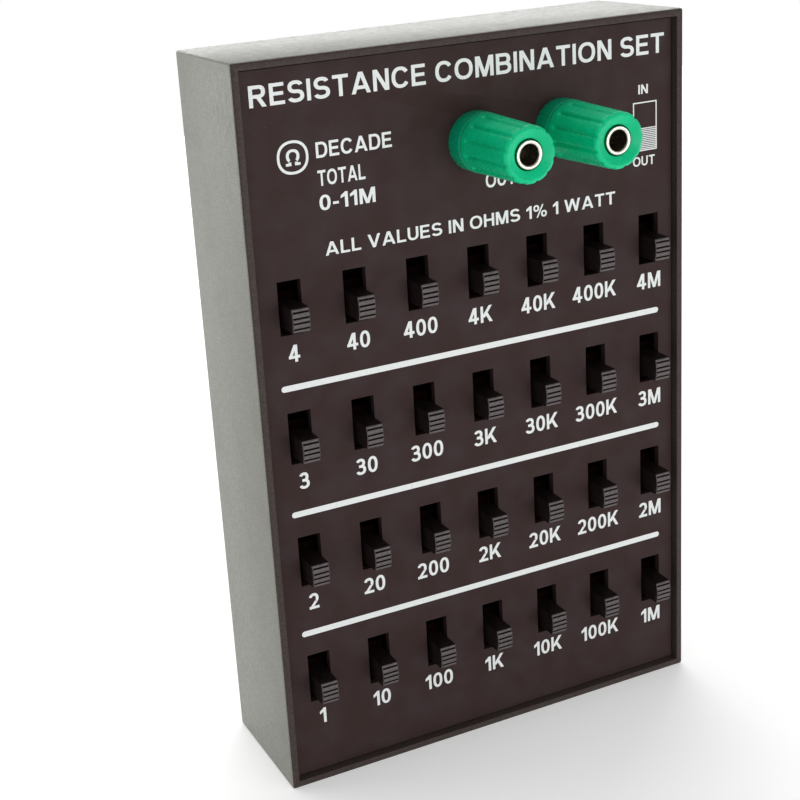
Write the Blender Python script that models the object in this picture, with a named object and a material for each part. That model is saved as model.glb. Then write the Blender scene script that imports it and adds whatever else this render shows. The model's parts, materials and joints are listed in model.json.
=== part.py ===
"""Resistance substitution box: a recessed switch panel in a five-sided plastic case.

Twenty-eight slide switches stand in four rows of seven, and two binding posts with
screw caps are the terminals. Metres, +Z up. The box stands on its bottom end, the panel
faces -Y, and the origin is the middle of the case's bottom face.
"""
import math

import bmesh
import bpy

# Case
CASE_WIDTH = 0.0960
CASE_DEPTH = 0.0290
CASE_HEIGHT = 0.1460
EDGE_ROUND = 0.0005
RIM_WALL = 0.0015
SIDE_WALL = 0.0026
BACK_WALL = 0.0020
PANEL_RECESS = 0.0015
GAP = 0.0003

# Front panel
PANEL_THICKNESS = 0.0015
COLUMNS = 7
ROWS = 4
COLUMN_PITCH = 0.01335
COLUMN_OFFSET = 0.0004
ROW_PITCH = 0.02574
TOP_ROW_Z = 0.1000
SLOT_WIDTH = 0.0047
SLOT_HEIGHT = 0.0104
MULTIPLIERS = (4, 3, 2, 1)
DECADES = ("1", "10", "100", "1k", "10k", "100k", "1m")

# Slide switches
SWITCH_WIDTH = 0.0086
SWITCH_HEIGHT = 0.0160
SWITCH_DEPTH = 0.0050
SWITCH_WALL = 0.0008
SWITCH_SLOT_WIDTH = 0.0044
SWITCH_SLOT_HEIGHT = 0.0092
CAVITY_WIDTH = 0.0072
CAVITY_HEIGHT = 0.0134
CAVITY_DEPTH = 0.0030
CARRIAGE_WIDTH = 0.0062
CARRIAGE_HEIGHT = 0.0078
CARRIAGE_DEPTH = 0.0020
KNOB_WIDTH = 0.0036
KNOB_HEIGHT = 0.0046
KNOB_REACH = 0.0050
KNOB_CROWN = 0.00035
KNOB_TRAVEL = 0.0026
RIDGE_WIDTHS = (0.00055, 0.00080, 0.00060, 0.00080, 0.00055)
GROOVE_DEPTH = 0.00035
GROOVE_SIDE = 0.00025

# Circuit board
BOARD_THICKNESS = 0.0016
BOARD_CLEARANCE = 0.0004
NOTCH_LEFT = -0.0070
NOTCH_RIGHT = 0.0280
NOTCH_Z = 0.1140
RESISTOR_RISE = 0.01287
RESISTOR_RADIUS = 0.0012
RESISTOR_LENGTH = 0.0063
RESISTOR_LEAD = 0.0006
RESISTOR_PITCH = 0.0088

# Binding posts
POST_X = {"left": 0.00070, "right": 0.01975}
POST_Z = 0.1258
STEM_RADIUS = 0.00270
SOCKET_RADIUS = 0.00195
STEM_FRONT = 0.0198
SOCKET_BOTTOM = 0.0045
STEM_TAIL = 0.0090
WIRE_HOLE_RADIUS = 0.0009
WIRE_HOLE_AT = 0.0063
COLLAR_RADIUS = 0.0058
COLLAR_FRONT = 0.0039
SPIGOT_RADIUS = 0.0042
CAP_REAR_RADIUS = 0.0057
CAP_FRONT_RADIUS = 0.00535
CAP_REAR = 0.0042
CAP_FRONT = 0.0202
CAP_BAND = 0.0018
CAP_BORE = 0.00320
FLUTES = 12
FLUTE_DEPTH = 0.0004
INSERT_RADIUS = 0.0042
INSERT_LENGTH = 0.0070
INSULATOR_RADIUS = 0.0055
INSULATOR_THICKNESS = 0.0015
LUG_RADIUS = 0.0042
LUG_THICKNESS = 0.0005
LUG_TAB_WIDTH = 0.0030
LUG_TAB_REACH = 0.0080
LUG_HOLE_RADIUS = 0.0007
NUT_ACROSS_FLATS = 0.0080
NUT_THICKNESS = 0.0025
WIRE_RADIUS = 0.0007
WIRE_END_X = {"left": 0.00668, "right": 0.02003}
WIRE_END_Z = 0.1103

# Case screws and feet
BOSS_X = 0.0410
BOSS_INSET_Z = 0.0075
CASE_BOSS_RADIUS = 0.00375
PANEL_BOSS_RADIUS = 0.0035
PILOT_RADIUS = 0.0015
SCREW_HOLE_RADIUS = 0.0016
SCREW_RADIUS = 0.0012
SCREW_HEAD_RADIUS = 0.0028
SCREW_HEAD_HEIGHT = 0.0017
COUNTERBORE_RADIUS = 0.0032
COUNTERBORE_DEPTH = 0.00245
DRIVE_SLOT = 0.0008
DRIVE_SPAN = 0.0032
FOOT_X = 0.0330
FOOT_INSET_Z = 0.0160
FOOT_RADIUS = 0.0048
FOOT_HEIGHT = 0.0024
FOOT_POCKET = 0.0006

# Planes along Y, from the front rim to the back of the case
RIM_Y = -CASE_DEPTH / 2
BACK_Y = CASE_DEPTH / 2
PANEL_FRONT_Y = RIM_Y + PANEL_RECESS
PANEL_BACK_Y = PANEL_FRONT_Y + PANEL_THICKNESS
SWITCH_FRONT_Y = PANEL_BACK_Y + GAP
BOARD_FRONT_Y = SWITCH_FRONT_Y + SWITCH_DEPTH
BOARD_BACK_Y = BOARD_FRONT_Y + BOARD_THICKNESS
CAVITY_FRONT_Y = SWITCH_FRONT_Y + SWITCH_WALL
CAVITY_BACK_Y = CAVITY_FRONT_Y + CAVITY_DEPTH
OVERCUT = 0.0010

TURNED_SEGMENTS = 24
HIDDEN_SEGMENTS = 16
SMALL_SEGMENTS = 10
RESISTOR_SEGMENTS = 6


def clear_scene():
    for item in list(bpy.data.objects):
        bpy.data.objects.remove(item, do_unlink=True)


def plastic_or_metal(name, colour, roughness, metallic=0.0):
    material = bpy.data.materials.new(name)
    material.use_nodes = True
    shader = material.node_tree.nodes["Principled BSDF"]
    shader.inputs["Base Color"].default_value = (*colour, 1.0)
    shader.inputs["Roughness"].default_value = roughness
    shader.inputs["Metallic"].default_value = metallic
    return material


def make_object(name, bm, material, location=(0.0, 0.0, 0.0), smooth_angle=None):
    """Turn a bmesh into a named object with faces pointing out."""
    bmesh.ops.recalc_face_normals(bm, faces=bm.faces)
    mesh = bpy.data.meshes.new(name)
    bm.to_mesh(mesh)
    bm.free()
    if smooth_angle is not None:
        mesh.shade_smooth()
        mesh.set_sharp_from_angle(angle=math.radians(smooth_angle))
    if material is not None:
        mesh.materials.append(material)
    return place(name, mesh, location)


def place(name, mesh, location):
    item = bpy.data.objects.new(name, mesh)
    item.location = location
    bpy.context.scene.collection.objects.link(item)
    return item


def as_cutter(item):
    item.hide_render = True
    item.display_type = "WIRE"
    return item


def combine(target, other, operation):
    """Cut or join another object with an exact Boolean modifier."""
    modifier = target.modifiers.new(other.name, "BOOLEAN")
    modifier.operation = operation
    modifier.solver = "EXACT"
    modifier.object = other


def add_box(bm, low, high):
    """Add one closed box between two corners and return its vertices."""
    corners = []
    for x in (low[0], high[0]):
        for y in (low[1], high[1]):
            for z in (low[2], high[2]):
                corners.append(bm.verts.new((x, y, z)))
    sides = (
        (0, 1, 3, 2), (4, 6, 7, 5), (0, 4, 5, 1),
        (2, 3, 7, 6), (0, 2, 6, 4), (1, 5, 7, 3),
    )
    for side in sides:
        bm.faces.new([corners[index] for index in side])
    return corners


def centred_box(bm, x, z, width, height, front, back):
    half_width = width / 2
    half_height = height / 2
    low = (x - half_width, front, z - half_height)
    high = (x + half_width, back, z + half_height)
    return add_box(bm, low, high)


def ring_of_points(bm, x, y, z, radius, segments, flute):
    ring = []
    for step in range(segments):
        angle = 2.0 * math.pi * step / segments
        reach = radius - flute * (step % 2)
        point = (x + reach * math.cos(angle), y, z + reach * math.sin(angle))
        ring.append(bm.verts.new(point))
    return ring


def add_turned(bm, outline, segments=TURNED_SEGMENTS, x=0.0, z=0.0):
    """Turn an outline of (radius, y) or (radius, y, flute depth) about a line along Y.

    An outline that starts and ends on the axis is a solid, and any other is a ring.
    """
    rings = []
    for radius, y, *flute in outline:
        if radius == 0.0:
            rings.append([bm.verts.new((x, y, z))])
        else:
            depth = flute[0] if flute else 0.0
            rings.append(ring_of_points(bm, x, y, z, radius, segments, depth))
    pairs = list(zip(rings, rings[1:]))
    if len(rings[0]) > 1:
        pairs.append((rings[-1], rings[0]))
    for first, second in pairs:
        for step in range(segments):
            corners = [first[step % len(first)], first[(step + 1) % len(first)]]
            corners += [second[(step + 1) % len(second)], second[step % len(second)]]
            unique = list(dict.fromkeys(corners))
            bm.faces.new(unique)
    return bm


def turned(outline, segments=TURNED_SEGMENTS):
    return add_turned(bmesh.new(), outline, segments)


def tube(radius, bore, front, back):
    return ((radius, front), (radius, back), (bore, back), (bore, front))


def rod(radius, front, back):
    return ((0.0, front), (radius, front), (radius, back), (0.0, back))


def column_x(column):
    return (column - (COLUMNS - 1) / 2) * COLUMN_PITCH + COLUMN_OFFSET


def row_z(row):
    return TOP_ROW_Z - row * ROW_PITCH


def switch_places():
    for row in range(ROWS):
        for column in range(COLUMNS):
            yield row, column, column_x(column), row_z(row)


def boss_places():
    for x in (-BOSS_X, BOSS_X):
        for z in (BOSS_INSET_Z, CASE_HEIGHT - BOSS_INSET_Z):
            yield x, z


def foot_places():
    for x in (-FOOT_X, FOOT_X):
        for z in (FOOT_INSET_Z, CASE_HEIGHT - FOOT_INSET_Z):
            yield x, z


def turned_group(outline, places, segments):
    bm = bmesh.new()
    for x, z in places:
        add_turned(bm, outline, segments, x, z)
    return bm


def box_group(places, width, height, front, back):
    bm = bmesh.new()
    for x, z in places:
        centred_box(bm, x, z, width, height, front, back)
    return bm


def make_case(material):
    bm = bmesh.new()
    middle_z = CASE_HEIGHT / 2
    centred_box(bm, 0.0, middle_z, CASE_WIDTH, CASE_HEIGHT, RIM_Y, BACK_Y)
    bmesh.ops.bevel(
        bm, geom=bm.edges[:], offset=EDGE_ROUND, segments=2, profile=0.5, affect="EDGES",
    )
    case = make_object("case", bm, material)

    pocket = bmesh.new()
    pocket_width = CASE_WIDTH - 2 * RIM_WALL
    pocket_height = CASE_HEIGHT - 2 * RIM_WALL
    ledge_y = PANEL_BACK_Y + GAP
    centred_box(pocket, 0.0, middle_z, pocket_width, pocket_height, RIM_Y - OVERCUT, ledge_y)
    combine(case, as_cutter(make_object("pocket_cutter", pocket, None)), "DIFFERENCE")

    room = bmesh.new()
    room_width = CASE_WIDTH - 2 * SIDE_WALL
    room_height = CASE_HEIGHT - 2 * SIDE_WALL
    room_front = ledge_y - OVERCUT
    centred_box(room, 0.0, middle_z, room_width, room_height, room_front, BACK_Y - BACK_WALL)
    combine(case, as_cutter(make_object("room_cutter", room, None)), "DIFFERENCE")

    boss_front = BOARD_BACK_Y + GAP
    boss_back = BACK_Y - BACK_WALL / 2
    outline = rod(CASE_BOSS_RADIUS, boss_front, boss_back)
    bosses = turned_group(outline, boss_places(), HIDDEN_SEGMENTS)
    combine(case, as_cutter(make_object("case_bosses", bosses, None)), "UNION")

    seat_y = BACK_Y - COUNTERBORE_DEPTH
    outline = (
        (0.0, boss_front - OVERCUT),
        (SCREW_HOLE_RADIUS, boss_front - OVERCUT),
        (SCREW_HOLE_RADIUS, seat_y),
        (COUNTERBORE_RADIUS, seat_y),
        (COUNTERBORE_RADIUS, BACK_Y + OVERCUT),
        (0.0, BACK_Y + OVERCUT),
    )
    holes = turned_group(outline, boss_places(), HIDDEN_SEGMENTS)
    combine(case, as_cutter(make_object("case_screw_holes", holes, None)), "DIFFERENCE")

    outline = rod(FOOT_RADIUS + 2 * GAP, BACK_Y - FOOT_POCKET, BACK_Y + OVERCUT)
    pockets = turned_group(outline, foot_places(), TURNED_SEGMENTS)
    combine(case, as_cutter(make_object("foot_pockets", pockets, None)), "DIFFERENCE")


def make_panel(material):
    bm = bmesh.new()
    width = CASE_WIDTH - 2 * (RIM_WALL + GAP)
    height = CASE_HEIGHT - 2 * (RIM_WALL + GAP)
    centred_box(bm, 0.0, CASE_HEIGHT / 2, width, height, PANEL_FRONT_Y, PANEL_BACK_Y)
    panel = make_object("front_panel", bm, material)

    boss_back = BOARD_FRONT_Y - GAP
    outline = rod(PANEL_BOSS_RADIUS, PANEL_BACK_Y - GAP, boss_back)
    bosses = turned_group(outline, boss_places(), HIDDEN_SEGMENTS)
    combine(panel, as_cutter(make_object("panel_bosses", bosses, None)), "UNION")

    pilot_bottom = PANEL_BACK_Y + 2 * GAP
    outline = rod(PILOT_RADIUS, pilot_bottom, boss_back + OVERCUT)
    pilots = turned_group(outline, boss_places(), SMALL_SEGMENTS)
    combine(panel, as_cutter(make_object("panel_pilot_holes", pilots, None)), "DIFFERENCE")

    front = PANEL_FRONT_Y - OVERCUT
    back = PANEL_BACK_Y + OVERCUT
    places = [(x, z) for _, _, x, z in switch_places()]
    slots = box_group(places, SLOT_WIDTH, SLOT_HEIGHT, front, back)
    combine(panel, as_cutter(make_object("panel_slots", slots, None)), "DIFFERENCE")

    outline = rod(SPIGOT_RADIUS + GAP, front, back)
    places = [(x, POST_Z) for x in POST_X.values()]
    holes = turned_group(outline, places, TURNED_SEGMENTS)
    combine(panel, as_cutter(make_object("panel_post_holes", holes, None)), "DIFFERENCE")


def make_board(material):
    """One soldered assembly: the board, its switch frames and its resistors."""
    bm = bmesh.new()
    width = CASE_WIDTH - 2 * (SIDE_WALL + BOARD_CLEARANCE)
    height = CASE_HEIGHT - 2 * (SIDE_WALL + BOARD_CLEARANCE)
    centred_box(bm, 0.0, CASE_HEIGHT / 2, width, height, BOARD_FRONT_Y, BOARD_BACK_Y)
    board = make_object("circuit_board", bm, material)

    notch = bmesh.new()
    low = (NOTCH_LEFT, BOARD_FRONT_Y - OVERCUT, NOTCH_Z)
    high = (NOTCH_RIGHT, BOARD_BACK_Y + OVERCUT, CASE_HEIGHT)
    add_box(notch, low, high)
    combine(board, as_cutter(make_object("board_notch", notch, None)), "DIFFERENCE")

    outline = rod(SCREW_HOLE_RADIUS, BOARD_FRONT_Y - OVERCUT, BOARD_BACK_Y + OVERCUT)
    holes = turned_group(outline, boss_places(), SMALL_SEGMENTS)
    combine(board, as_cutter(make_object("board_holes", holes, None)), "DIFFERENCE")

    places = [(x, z) for _, _, x, z in switch_places()]
    joined_y = BOARD_FRONT_Y + GAP
    frames = box_group(places, SWITCH_WIDTH, SWITCH_HEIGHT, SWITCH_FRONT_Y, joined_y)
    combine(board, as_cutter(make_object("switch_frames", frames, None)), "UNION")

    rooms = box_group(places, CAVITY_WIDTH, CAVITY_HEIGHT, CAVITY_FRONT_Y, CAVITY_BACK_Y)
    combine(board, as_cutter(make_object("switch_cavities", rooms, None)), "DIFFERENCE")

    front = SWITCH_FRONT_Y - OVERCUT
    back = CAVITY_FRONT_Y + GAP
    slots = box_group(places, SWITCH_SLOT_WIDTH, SWITCH_SLOT_HEIGHT, front, back)
    combine(board, as_cutter(make_object("switch_slots", slots, None)), "DIFFERENCE")

    combine(board, as_cutter(make_resistor_leads(places)), "UNION")
    combine(board, as_cutter(make_resistor_bodies(places)), "UNION")


def make_resistor_leads(places):
    """Each lead runs along X at body height and turns down into the board at both ends."""
    bm = bmesh.new()
    half = RESISTOR_LEAD / 2
    axis_y = BOARD_FRONT_Y - RESISTOR_RADIUS - GAP
    reach = RESISTOR_PITCH / 2
    across = (
        (-reach - half, axis_y - half), (reach + half, axis_y - half),
        (reach + half, BOARD_FRONT_Y + GAP), (reach - half, BOARD_FRONT_Y + GAP),
        (reach - half, axis_y + half), (-reach + half, axis_y + half),
        (-reach + half, BOARD_FRONT_Y + GAP), (-reach - half, BOARD_FRONT_Y + GAP),
    )
    for x, z in places:
        corners = [bm.verts.new((x + dx, y, z + RESISTOR_RISE - half)) for dx, y in across]
        face = bm.faces.new(corners)
        raised = bmesh.ops.extrude_face_region(bm, geom=[face], use_keep_orig=True)
        moved = [item for item in raised["geom"] if isinstance(item, bmesh.types.BMVert)]
        bmesh.ops.translate(bm, verts=moved, vec=(0.0, 0.0, RESISTOR_LEAD))
    return make_object("resistor_leads", bm, None)


def make_resistor_bodies(places):
    bm = bmesh.new()
    axis_y = BOARD_FRONT_Y - RESISTOR_RADIUS - GAP
    half_length = RESISTOR_LENGTH / 2
    for x, z in places:
        ends = []
        for end_x in (x - half_length, x + half_length):
            ring = []
            for step in range(RESISTOR_SEGMENTS):
                angle = 2.0 * math.pi * (step + 0.5) / RESISTOR_SEGMENTS
                y = axis_y + RESISTOR_RADIUS * math.cos(angle)
                height = z + RESISTOR_RISE + RESISTOR_RADIUS * math.sin(angle)
                ring.append(bm.verts.new((end_x, y, height)))
            bm.faces.new(ring)
            ends.append(ring)
        for step in range(RESISTOR_SEGMENTS):
            following = (step + 1) % RESISTOR_SEGMENTS
            sides = (ends[0][step], ends[0][following], ends[1][following], ends[1][step])
            bm.faces.new(sides)
    return make_object("resistor_bodies", bm, None)


def ridge_lines():
    """Heights of the ridge edges across the knob's face, from its bottom to its top."""
    groove = (KNOB_HEIGHT - sum(RIDGE_WIDTHS)) / (len(RIDGE_WIDTHS) - 1)
    lines = [-KNOB_HEIGHT / 2]
    for index, width in enumerate(RIDGE_WIDTHS):
        lines.append(lines[-1] + width)
        if index < len(RIDGE_WIDTHS) - 1:
            lines.append(lines[-1] + groove)
    return lines


def knob_face_y(height):
    """The knob's face is crowned: its middle reaches furthest from the panel."""
    across = 2.0 * height / KNOB_HEIGHT
    return PANEL_FRONT_Y - KNOB_REACH + KNOB_CROWN * across * across


def make_slider_mesh(material):
    """A wide carriage inside the switch and a ribbed knob that reaches through the slots.

    The mesh is drawn around the knob's centre height. Its face is a grid, three cells
    across, and the middle cell of each groove is pushed back.
    """
    bm = bmesh.new()
    half_knob = KNOB_WIDTH / 2
    half_carriage = CARRIAGE_WIDTH / 2
    neck_y = CAVITY_FRONT_Y + BOARD_CLEARANCE
    rear_y = neck_y + CARRIAGE_DEPTH
    across = (-half_knob, -half_knob + GROOVE_SIDE, half_knob - GROOVE_SIDE, half_knob)
    heights = ridge_lines()
    grid = [[bm.verts.new((x, knob_face_y(z), z)) for x in across] for z in heights]
    grooves = []
    for level in range(len(heights) - 1):
        for cell in range(len(across) - 1):
            corners = (grid[level][cell], grid[level][cell + 1])
            corners += (grid[level + 1][cell + 1], grid[level + 1][cell])
            face = bm.faces.new(corners)
            if cell == 1 and level % 2 == 1:
                grooves.append(face)
    for face in grooves:
        pushed = bmesh.ops.extrude_discrete_faces(bm, faces=[face])
        verts = pushed["faces"][0].verts
        bmesh.ops.translate(bm, verts=list(verts), vec=(0.0, GROOVE_DEPTH, 0.0))

    half_height = KNOB_HEIGHT / 2
    neck = [
        bm.verts.new((x, neck_y, z))
        for x, z in (
            (-half_knob, -half_height), (half_knob, -half_height),
            (half_knob, half_height), (-half_knob, half_height),
        )
    ]
    bottom, top = grid[0], grid[-1]
    left = [line[0] for line in grid]
    right = [line[-1] for line in grid]
    bm.faces.new(bottom + [neck[1], neck[0]])
    bm.faces.new(top + [neck[2], neck[3]])
    bm.faces.new(left + [neck[3], neck[0]])
    bm.faces.new(right + [neck[2], neck[1]])

    half_tall = CARRIAGE_HEIGHT / 2
    outer = (
        (-half_carriage, -half_tall), (half_carriage, -half_tall),
        (half_carriage, half_tall), (-half_carriage, half_tall),
    )
    shoulder = [bm.verts.new((x, neck_y, z)) for x, z in outer]
    rear = [bm.verts.new((x, rear_y, z)) for x, z in outer]
    for step in range(4):
        following = (step + 1) % 4
        bm.faces.new((neck[step], neck[following], shoulder[following], shoulder[step]))
        bm.faces.new((shoulder[step], shoulder[following], rear[following], rear[step]))
    bm.faces.new(rear)

    bmesh.ops.recalc_face_normals(bm, faces=bm.faces)
    mesh = bpy.data.meshes.new("slider")
    bm.to_mesh(mesh)
    bm.free()
    mesh.materials.append(material)
    return mesh


def slider_name(row, column):
    """The resistance that the switch adds, such as slider_4_ohm or slider_200k_ohm."""
    decade = DECADES[column]
    return f"slider_{decade.replace('1', str(MULTIPLIERS[row]), 1)}_ohm"


def make_sliders(material):
    """At rest every knob is at the lower end of its travel, its resistor switched out."""
    mesh = make_slider_mesh(material)
    for row, column, x, z in switch_places():
        place(slider_name(row, column), mesh, (x, 0.0, z - KNOB_TRAVEL / 2))


def ahead(distance):
    """Y of a plane that stands this far in front of the panel's face."""
    return PANEL_FRONT_Y - distance


def make_post(side, green, dark_green, nickel, brass, insulation):
    """One binding post: every piece is turned about the line through x, POST_Z along Y."""
    centre = (POST_X[side], 0.0, POST_Z)
    name = f"{side}_post"
    bore = STEM_RADIUS + GAP
    insulator_front = PANEL_BACK_Y + GAP
    insulator_back = insulator_front + INSULATOR_THICKNESS
    lug_front = insulator_back + GAP
    nut_front = lug_front + LUG_THICKNESS + GAP

    make_object(f"{name}_collar", turned(collar_outline(bore)), dark_green, centre, 40)
    make_object(f"{name}_cap", turned(cap_outline(), 2 * FLUTES), green, centre, 25)
    front = ahead(CAP_REAR + 2 * GAP + INSERT_LENGTH)
    insert = tube(INSERT_RADIUS, bore, front, front + INSERT_LENGTH)
    make_object(f"{name}_insert", turned(insert), brass, centre, 40)
    make_stem(f"{name}_stem", centre, nickel)
    insulator = tube(INSULATOR_RADIUS, bore, insulator_front, insulator_back)
    make_object(f"{name}_rear_insulator", turned(insulator), insulation, centre, 40)
    make_lug(f"{name}_lug", centre, lug_front, bore, brass)
    make_nut(f"{name}_nut", centre, nut_front, bore, nickel)


def collar_outline(bore):
    """A round insulator with a spigot that centres it in the panel's hole."""
    front, rear = ahead(COLLAR_FRONT), ahead(GAP)
    return (
        (COLLAR_RADIUS - GAP, front), (COLLAR_RADIUS, front + GAP),
        (COLLAR_RADIUS, rear), (SPIGOT_RADIUS, rear),
        (SPIGOT_RADIUS, PANEL_BACK_Y - GAP), (bore, PANEL_BACK_Y - GAP), (bore, front),
    )


def cap_outline():
    """A smooth band at the rear, then flutes that taper to a dished end around the stem."""
    rear, front = ahead(CAP_REAR), ahead(CAP_FRONT)
    band = rear - CAP_BAND
    recess = INSERT_RADIUS + GAP
    recess_end = ahead(CAP_REAR + 3 * GAP + INSERT_LENGTH)
    edge = 0.0005
    return (
        (recess, rear), (CAP_REAR_RADIUS - edge, rear),
        (CAP_REAR_RADIUS, rear - edge), (CAP_REAR_RADIUS, band),
        (CAP_REAR_RADIUS, band - edge, FLUTE_DEPTH),
        (CAP_FRONT_RADIUS, front + edge, FLUTE_DEPTH),
        (CAP_FRONT_RADIUS - edge, front, FLUTE_DEPTH / 2),
        (CAP_FRONT_RADIUS - 3 * edge, front), (CAP_BORE, front + 2 * edge),
        (CAP_BORE, recess_end), (recess, recess_end),
    )


def make_stem(name, centre, material):
    """A nickel-plated tube, open at the front as a plug socket, with a cross hole."""
    front = ahead(STEM_FRONT)
    tail = PANEL_BACK_Y + STEM_TAIL
    outline = (
        (0.0, ahead(SOCKET_BOTTOM)), (SOCKET_RADIUS, ahead(SOCKET_BOTTOM)),
        (SOCKET_RADIUS, front), (STEM_RADIUS, front), (STEM_RADIUS, tail), (0.0, tail),
    )
    stem = make_object(name, turned(outline), material, centre, 40)
    bm = bmesh.new()
    reach = STEM_RADIUS + OVERCUT
    bmesh.ops.create_cone(
        bm, cap_ends=True, segments=SMALL_SEGMENTS, depth=2 * reach,
        radius1=WIRE_HOLE_RADIUS, radius2=WIRE_HOLE_RADIUS,
    )
    hole_place = (centre[0], ahead(WIRE_HOLE_AT), centre[2])
    hole = as_cutter(make_object(f"{name}_cross_hole", bm, None, hole_place))
    hole.rotation_euler = (0.0, math.radians(90.0), 0.0)
    combine(stem, hole, "DIFFERENCE")


def make_lug(name, centre, front, bore, material):
    """A solder lug: a flat ring with a tab that hangs down and ends in a small hole."""
    bm = bmesh.new()
    half_tab = LUG_TAB_WIDTH / 2
    start = math.asin(half_tab / LUG_RADIUS)
    outline = []
    for step in range(TURNED_SEGMENTS + 1):
        angle = start + (2.0 * math.pi - 2.0 * start) * step / TURNED_SEGMENTS
        outline.append((LUG_RADIUS * math.sin(angle), -LUG_RADIUS * math.cos(angle)))
    for step in range(SMALL_SEGMENTS // 2 + 1):
        angle = math.pi * step / (SMALL_SEGMENTS // 2)
        x = -half_tab * math.cos(angle)
        outline.append((x, -LUG_TAB_REACH - half_tab * math.sin(angle)))
    face = bm.faces.new([bm.verts.new((x, front, z)) for x, z in outline])
    raised = bmesh.ops.extrude_face_region(bm, geom=[face], use_keep_orig=True)
    moved = [item for item in raised["geom"] if isinstance(item, bmesh.types.BMVert)]
    bmesh.ops.translate(bm, verts=moved, vec=(0.0, LUG_THICKNESS, 0.0))
    lug = make_object(name, bm, material, centre)

    ends = (front - OVERCUT, front + LUG_THICKNESS + OVERCUT)
    holes = bmesh.new()
    add_turned(holes, rod(bore, *ends), TURNED_SEGMENTS)
    add_turned(holes, rod(LUG_HOLE_RADIUS, *ends), SMALL_SEGMENTS, 0.0, -LUG_TAB_REACH)
    combine(lug, as_cutter(make_object(f"{name}_holes", holes, None, centre)), "DIFFERENCE")


def make_nut(name, centre, front, bore, material):
    corner = NUT_ACROSS_FLATS / math.sqrt(3.0)
    bm = turned(rod(corner, front, front + NUT_THICKNESS), 6)
    nut = make_object(name, bm, material, centre)
    hole = turned(rod(bore, front - OVERCUT, front + NUT_THICKNESS + OVERCUT))
    combine(nut, as_cutter(make_object(f"{name}_hole", hole, None, centre)), "DIFFERENCE")


def smooth_route(points, steps=3):
    """A Catmull-Rom curve through the points, which passes through the first and last."""
    padded = [points[0], *points, points[-1]]
    route = []
    for index in range(len(points) - 1):
        before, start, end, after = padded[index:index + 4]
        for step in range(steps):
            t = step / steps
            route.append(tuple(
                0.5 * (2 * s + (e - b) * t + (2 * b - 5 * s + 4 * e - a) * t * t
                       + (3 * s - b - 3 * e + a) * t * t * t)
                for b, s, e, a in zip(before, start, end, after)
            ))
    route.append(tuple(points[-1]))
    return route


def make_output_wire(side, material):
    """An insulated wire from behind the solder lug's tab down to the board's top pads."""
    start_x, end_x = POST_X[side], WIRE_END_X[side]
    lug_back = PANEL_BACK_Y + 2 * GAP + INSULATOR_THICKNESS + LUG_THICKNESS
    run_y = lug_back + GAP + WIRE_RADIUS
    start_z = POST_Z - LUG_TAB_REACH + 0.0012
    shift = end_x - start_x
    points = (
        (start_x, run_y, start_z),
        (start_x + 0.1 * shift, run_y, start_z - 0.0015),
        (start_x + 0.7 * shift, run_y, start_z - 0.0026),
        (end_x, run_y, start_z - 0.0046),
        (end_x, run_y - 0.0002, WIRE_END_Z + 0.0010),
        (end_x, run_y + 0.0003, WIRE_END_Z + 0.0001),
        (end_x, BOARD_FRONT_Y - GAP, WIRE_END_Z),
    )
    route = smooth_route(points)
    curve = bpy.data.curves.new(f"{side}_output_wire", "CURVE")
    curve.dimensions = "3D"
    curve.bevel_depth = WIRE_RADIUS
    curve.bevel_resolution = 2
    curve.use_fill_caps = True
    spline = curve.splines.new("POLY")
    spline.points.add(len(route) - 1)
    for point, position in zip(spline.points, route):
        point.co = (*position, 1.0)
    curve.materials.append(material)
    wire = bpy.data.objects.new(f"{side}_output_wire", curve)
    bpy.context.scene.collection.objects.link(wire)


def make_case_screws(material):
    """Long screws from the back, through the case and the board, into the panel's bosses."""
    seat_y = BACK_Y - COUNTERBORE_DEPTH + GAP
    head_y = seat_y + SCREW_HEAD_HEIGHT
    tip_y = PANEL_BACK_Y + 3 * GAP
    outline = (
        (0.0, tip_y), (SCREW_RADIUS / 2, tip_y), (SCREW_RADIUS, tip_y + SCREW_RADIUS),
        (SCREW_RADIUS, seat_y), (SCREW_HEAD_RADIUS, seat_y),
        (SCREW_HEAD_RADIUS, head_y - 2 * GAP), (SCREW_HEAD_RADIUS - 3 * GAP, head_y),
        (0.0, head_y),
    )
    names = ("lower_left", "upper_left", "lower_right", "upper_right")
    for label, (x, z) in zip(names, boss_places()):
        centre = (x, 0.0, z)
        name = f"case_screw_{label}"
        screw = make_object(name, turned(outline, 16), material, centre, 40)
        for angle in (0.0, 90.0):
            bm = bmesh.new()
            front = head_y - SCREW_HEAD_HEIGHT / 2
            centred_box(bm, 0.0, 0.0, DRIVE_SPAN, DRIVE_SLOT, front, head_y + OVERCUT)
            slot = as_cutter(make_object(f"{name}_drive_{angle:.0f}", bm, None, centre))
            slot.rotation_euler = (0.0, math.radians(angle), 0.0)
            combine(screw, slot, "DIFFERENCE")


def make_feet(material):
    """Stuck-on rubber feet, each in a shallow round pocket in the back of the case."""
    base = BACK_Y - FOOT_POCKET + GAP
    end = base + FOOT_HEIGHT
    outline = (
        (0.0, base), (FOOT_RADIUS, base), (FOOT_RADIUS, end - 3 * GAP),
        (FOOT_RADIUS - 2 * GAP, end), (0.0, end),
    )
    names = ("lower_left", "upper_left", "lower_right", "upper_right")
    for label, (x, z) in zip(names, foot_places()):
        make_object(f"foot_{label}", turned(outline), material, (x, 0.0, z), 40)


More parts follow.
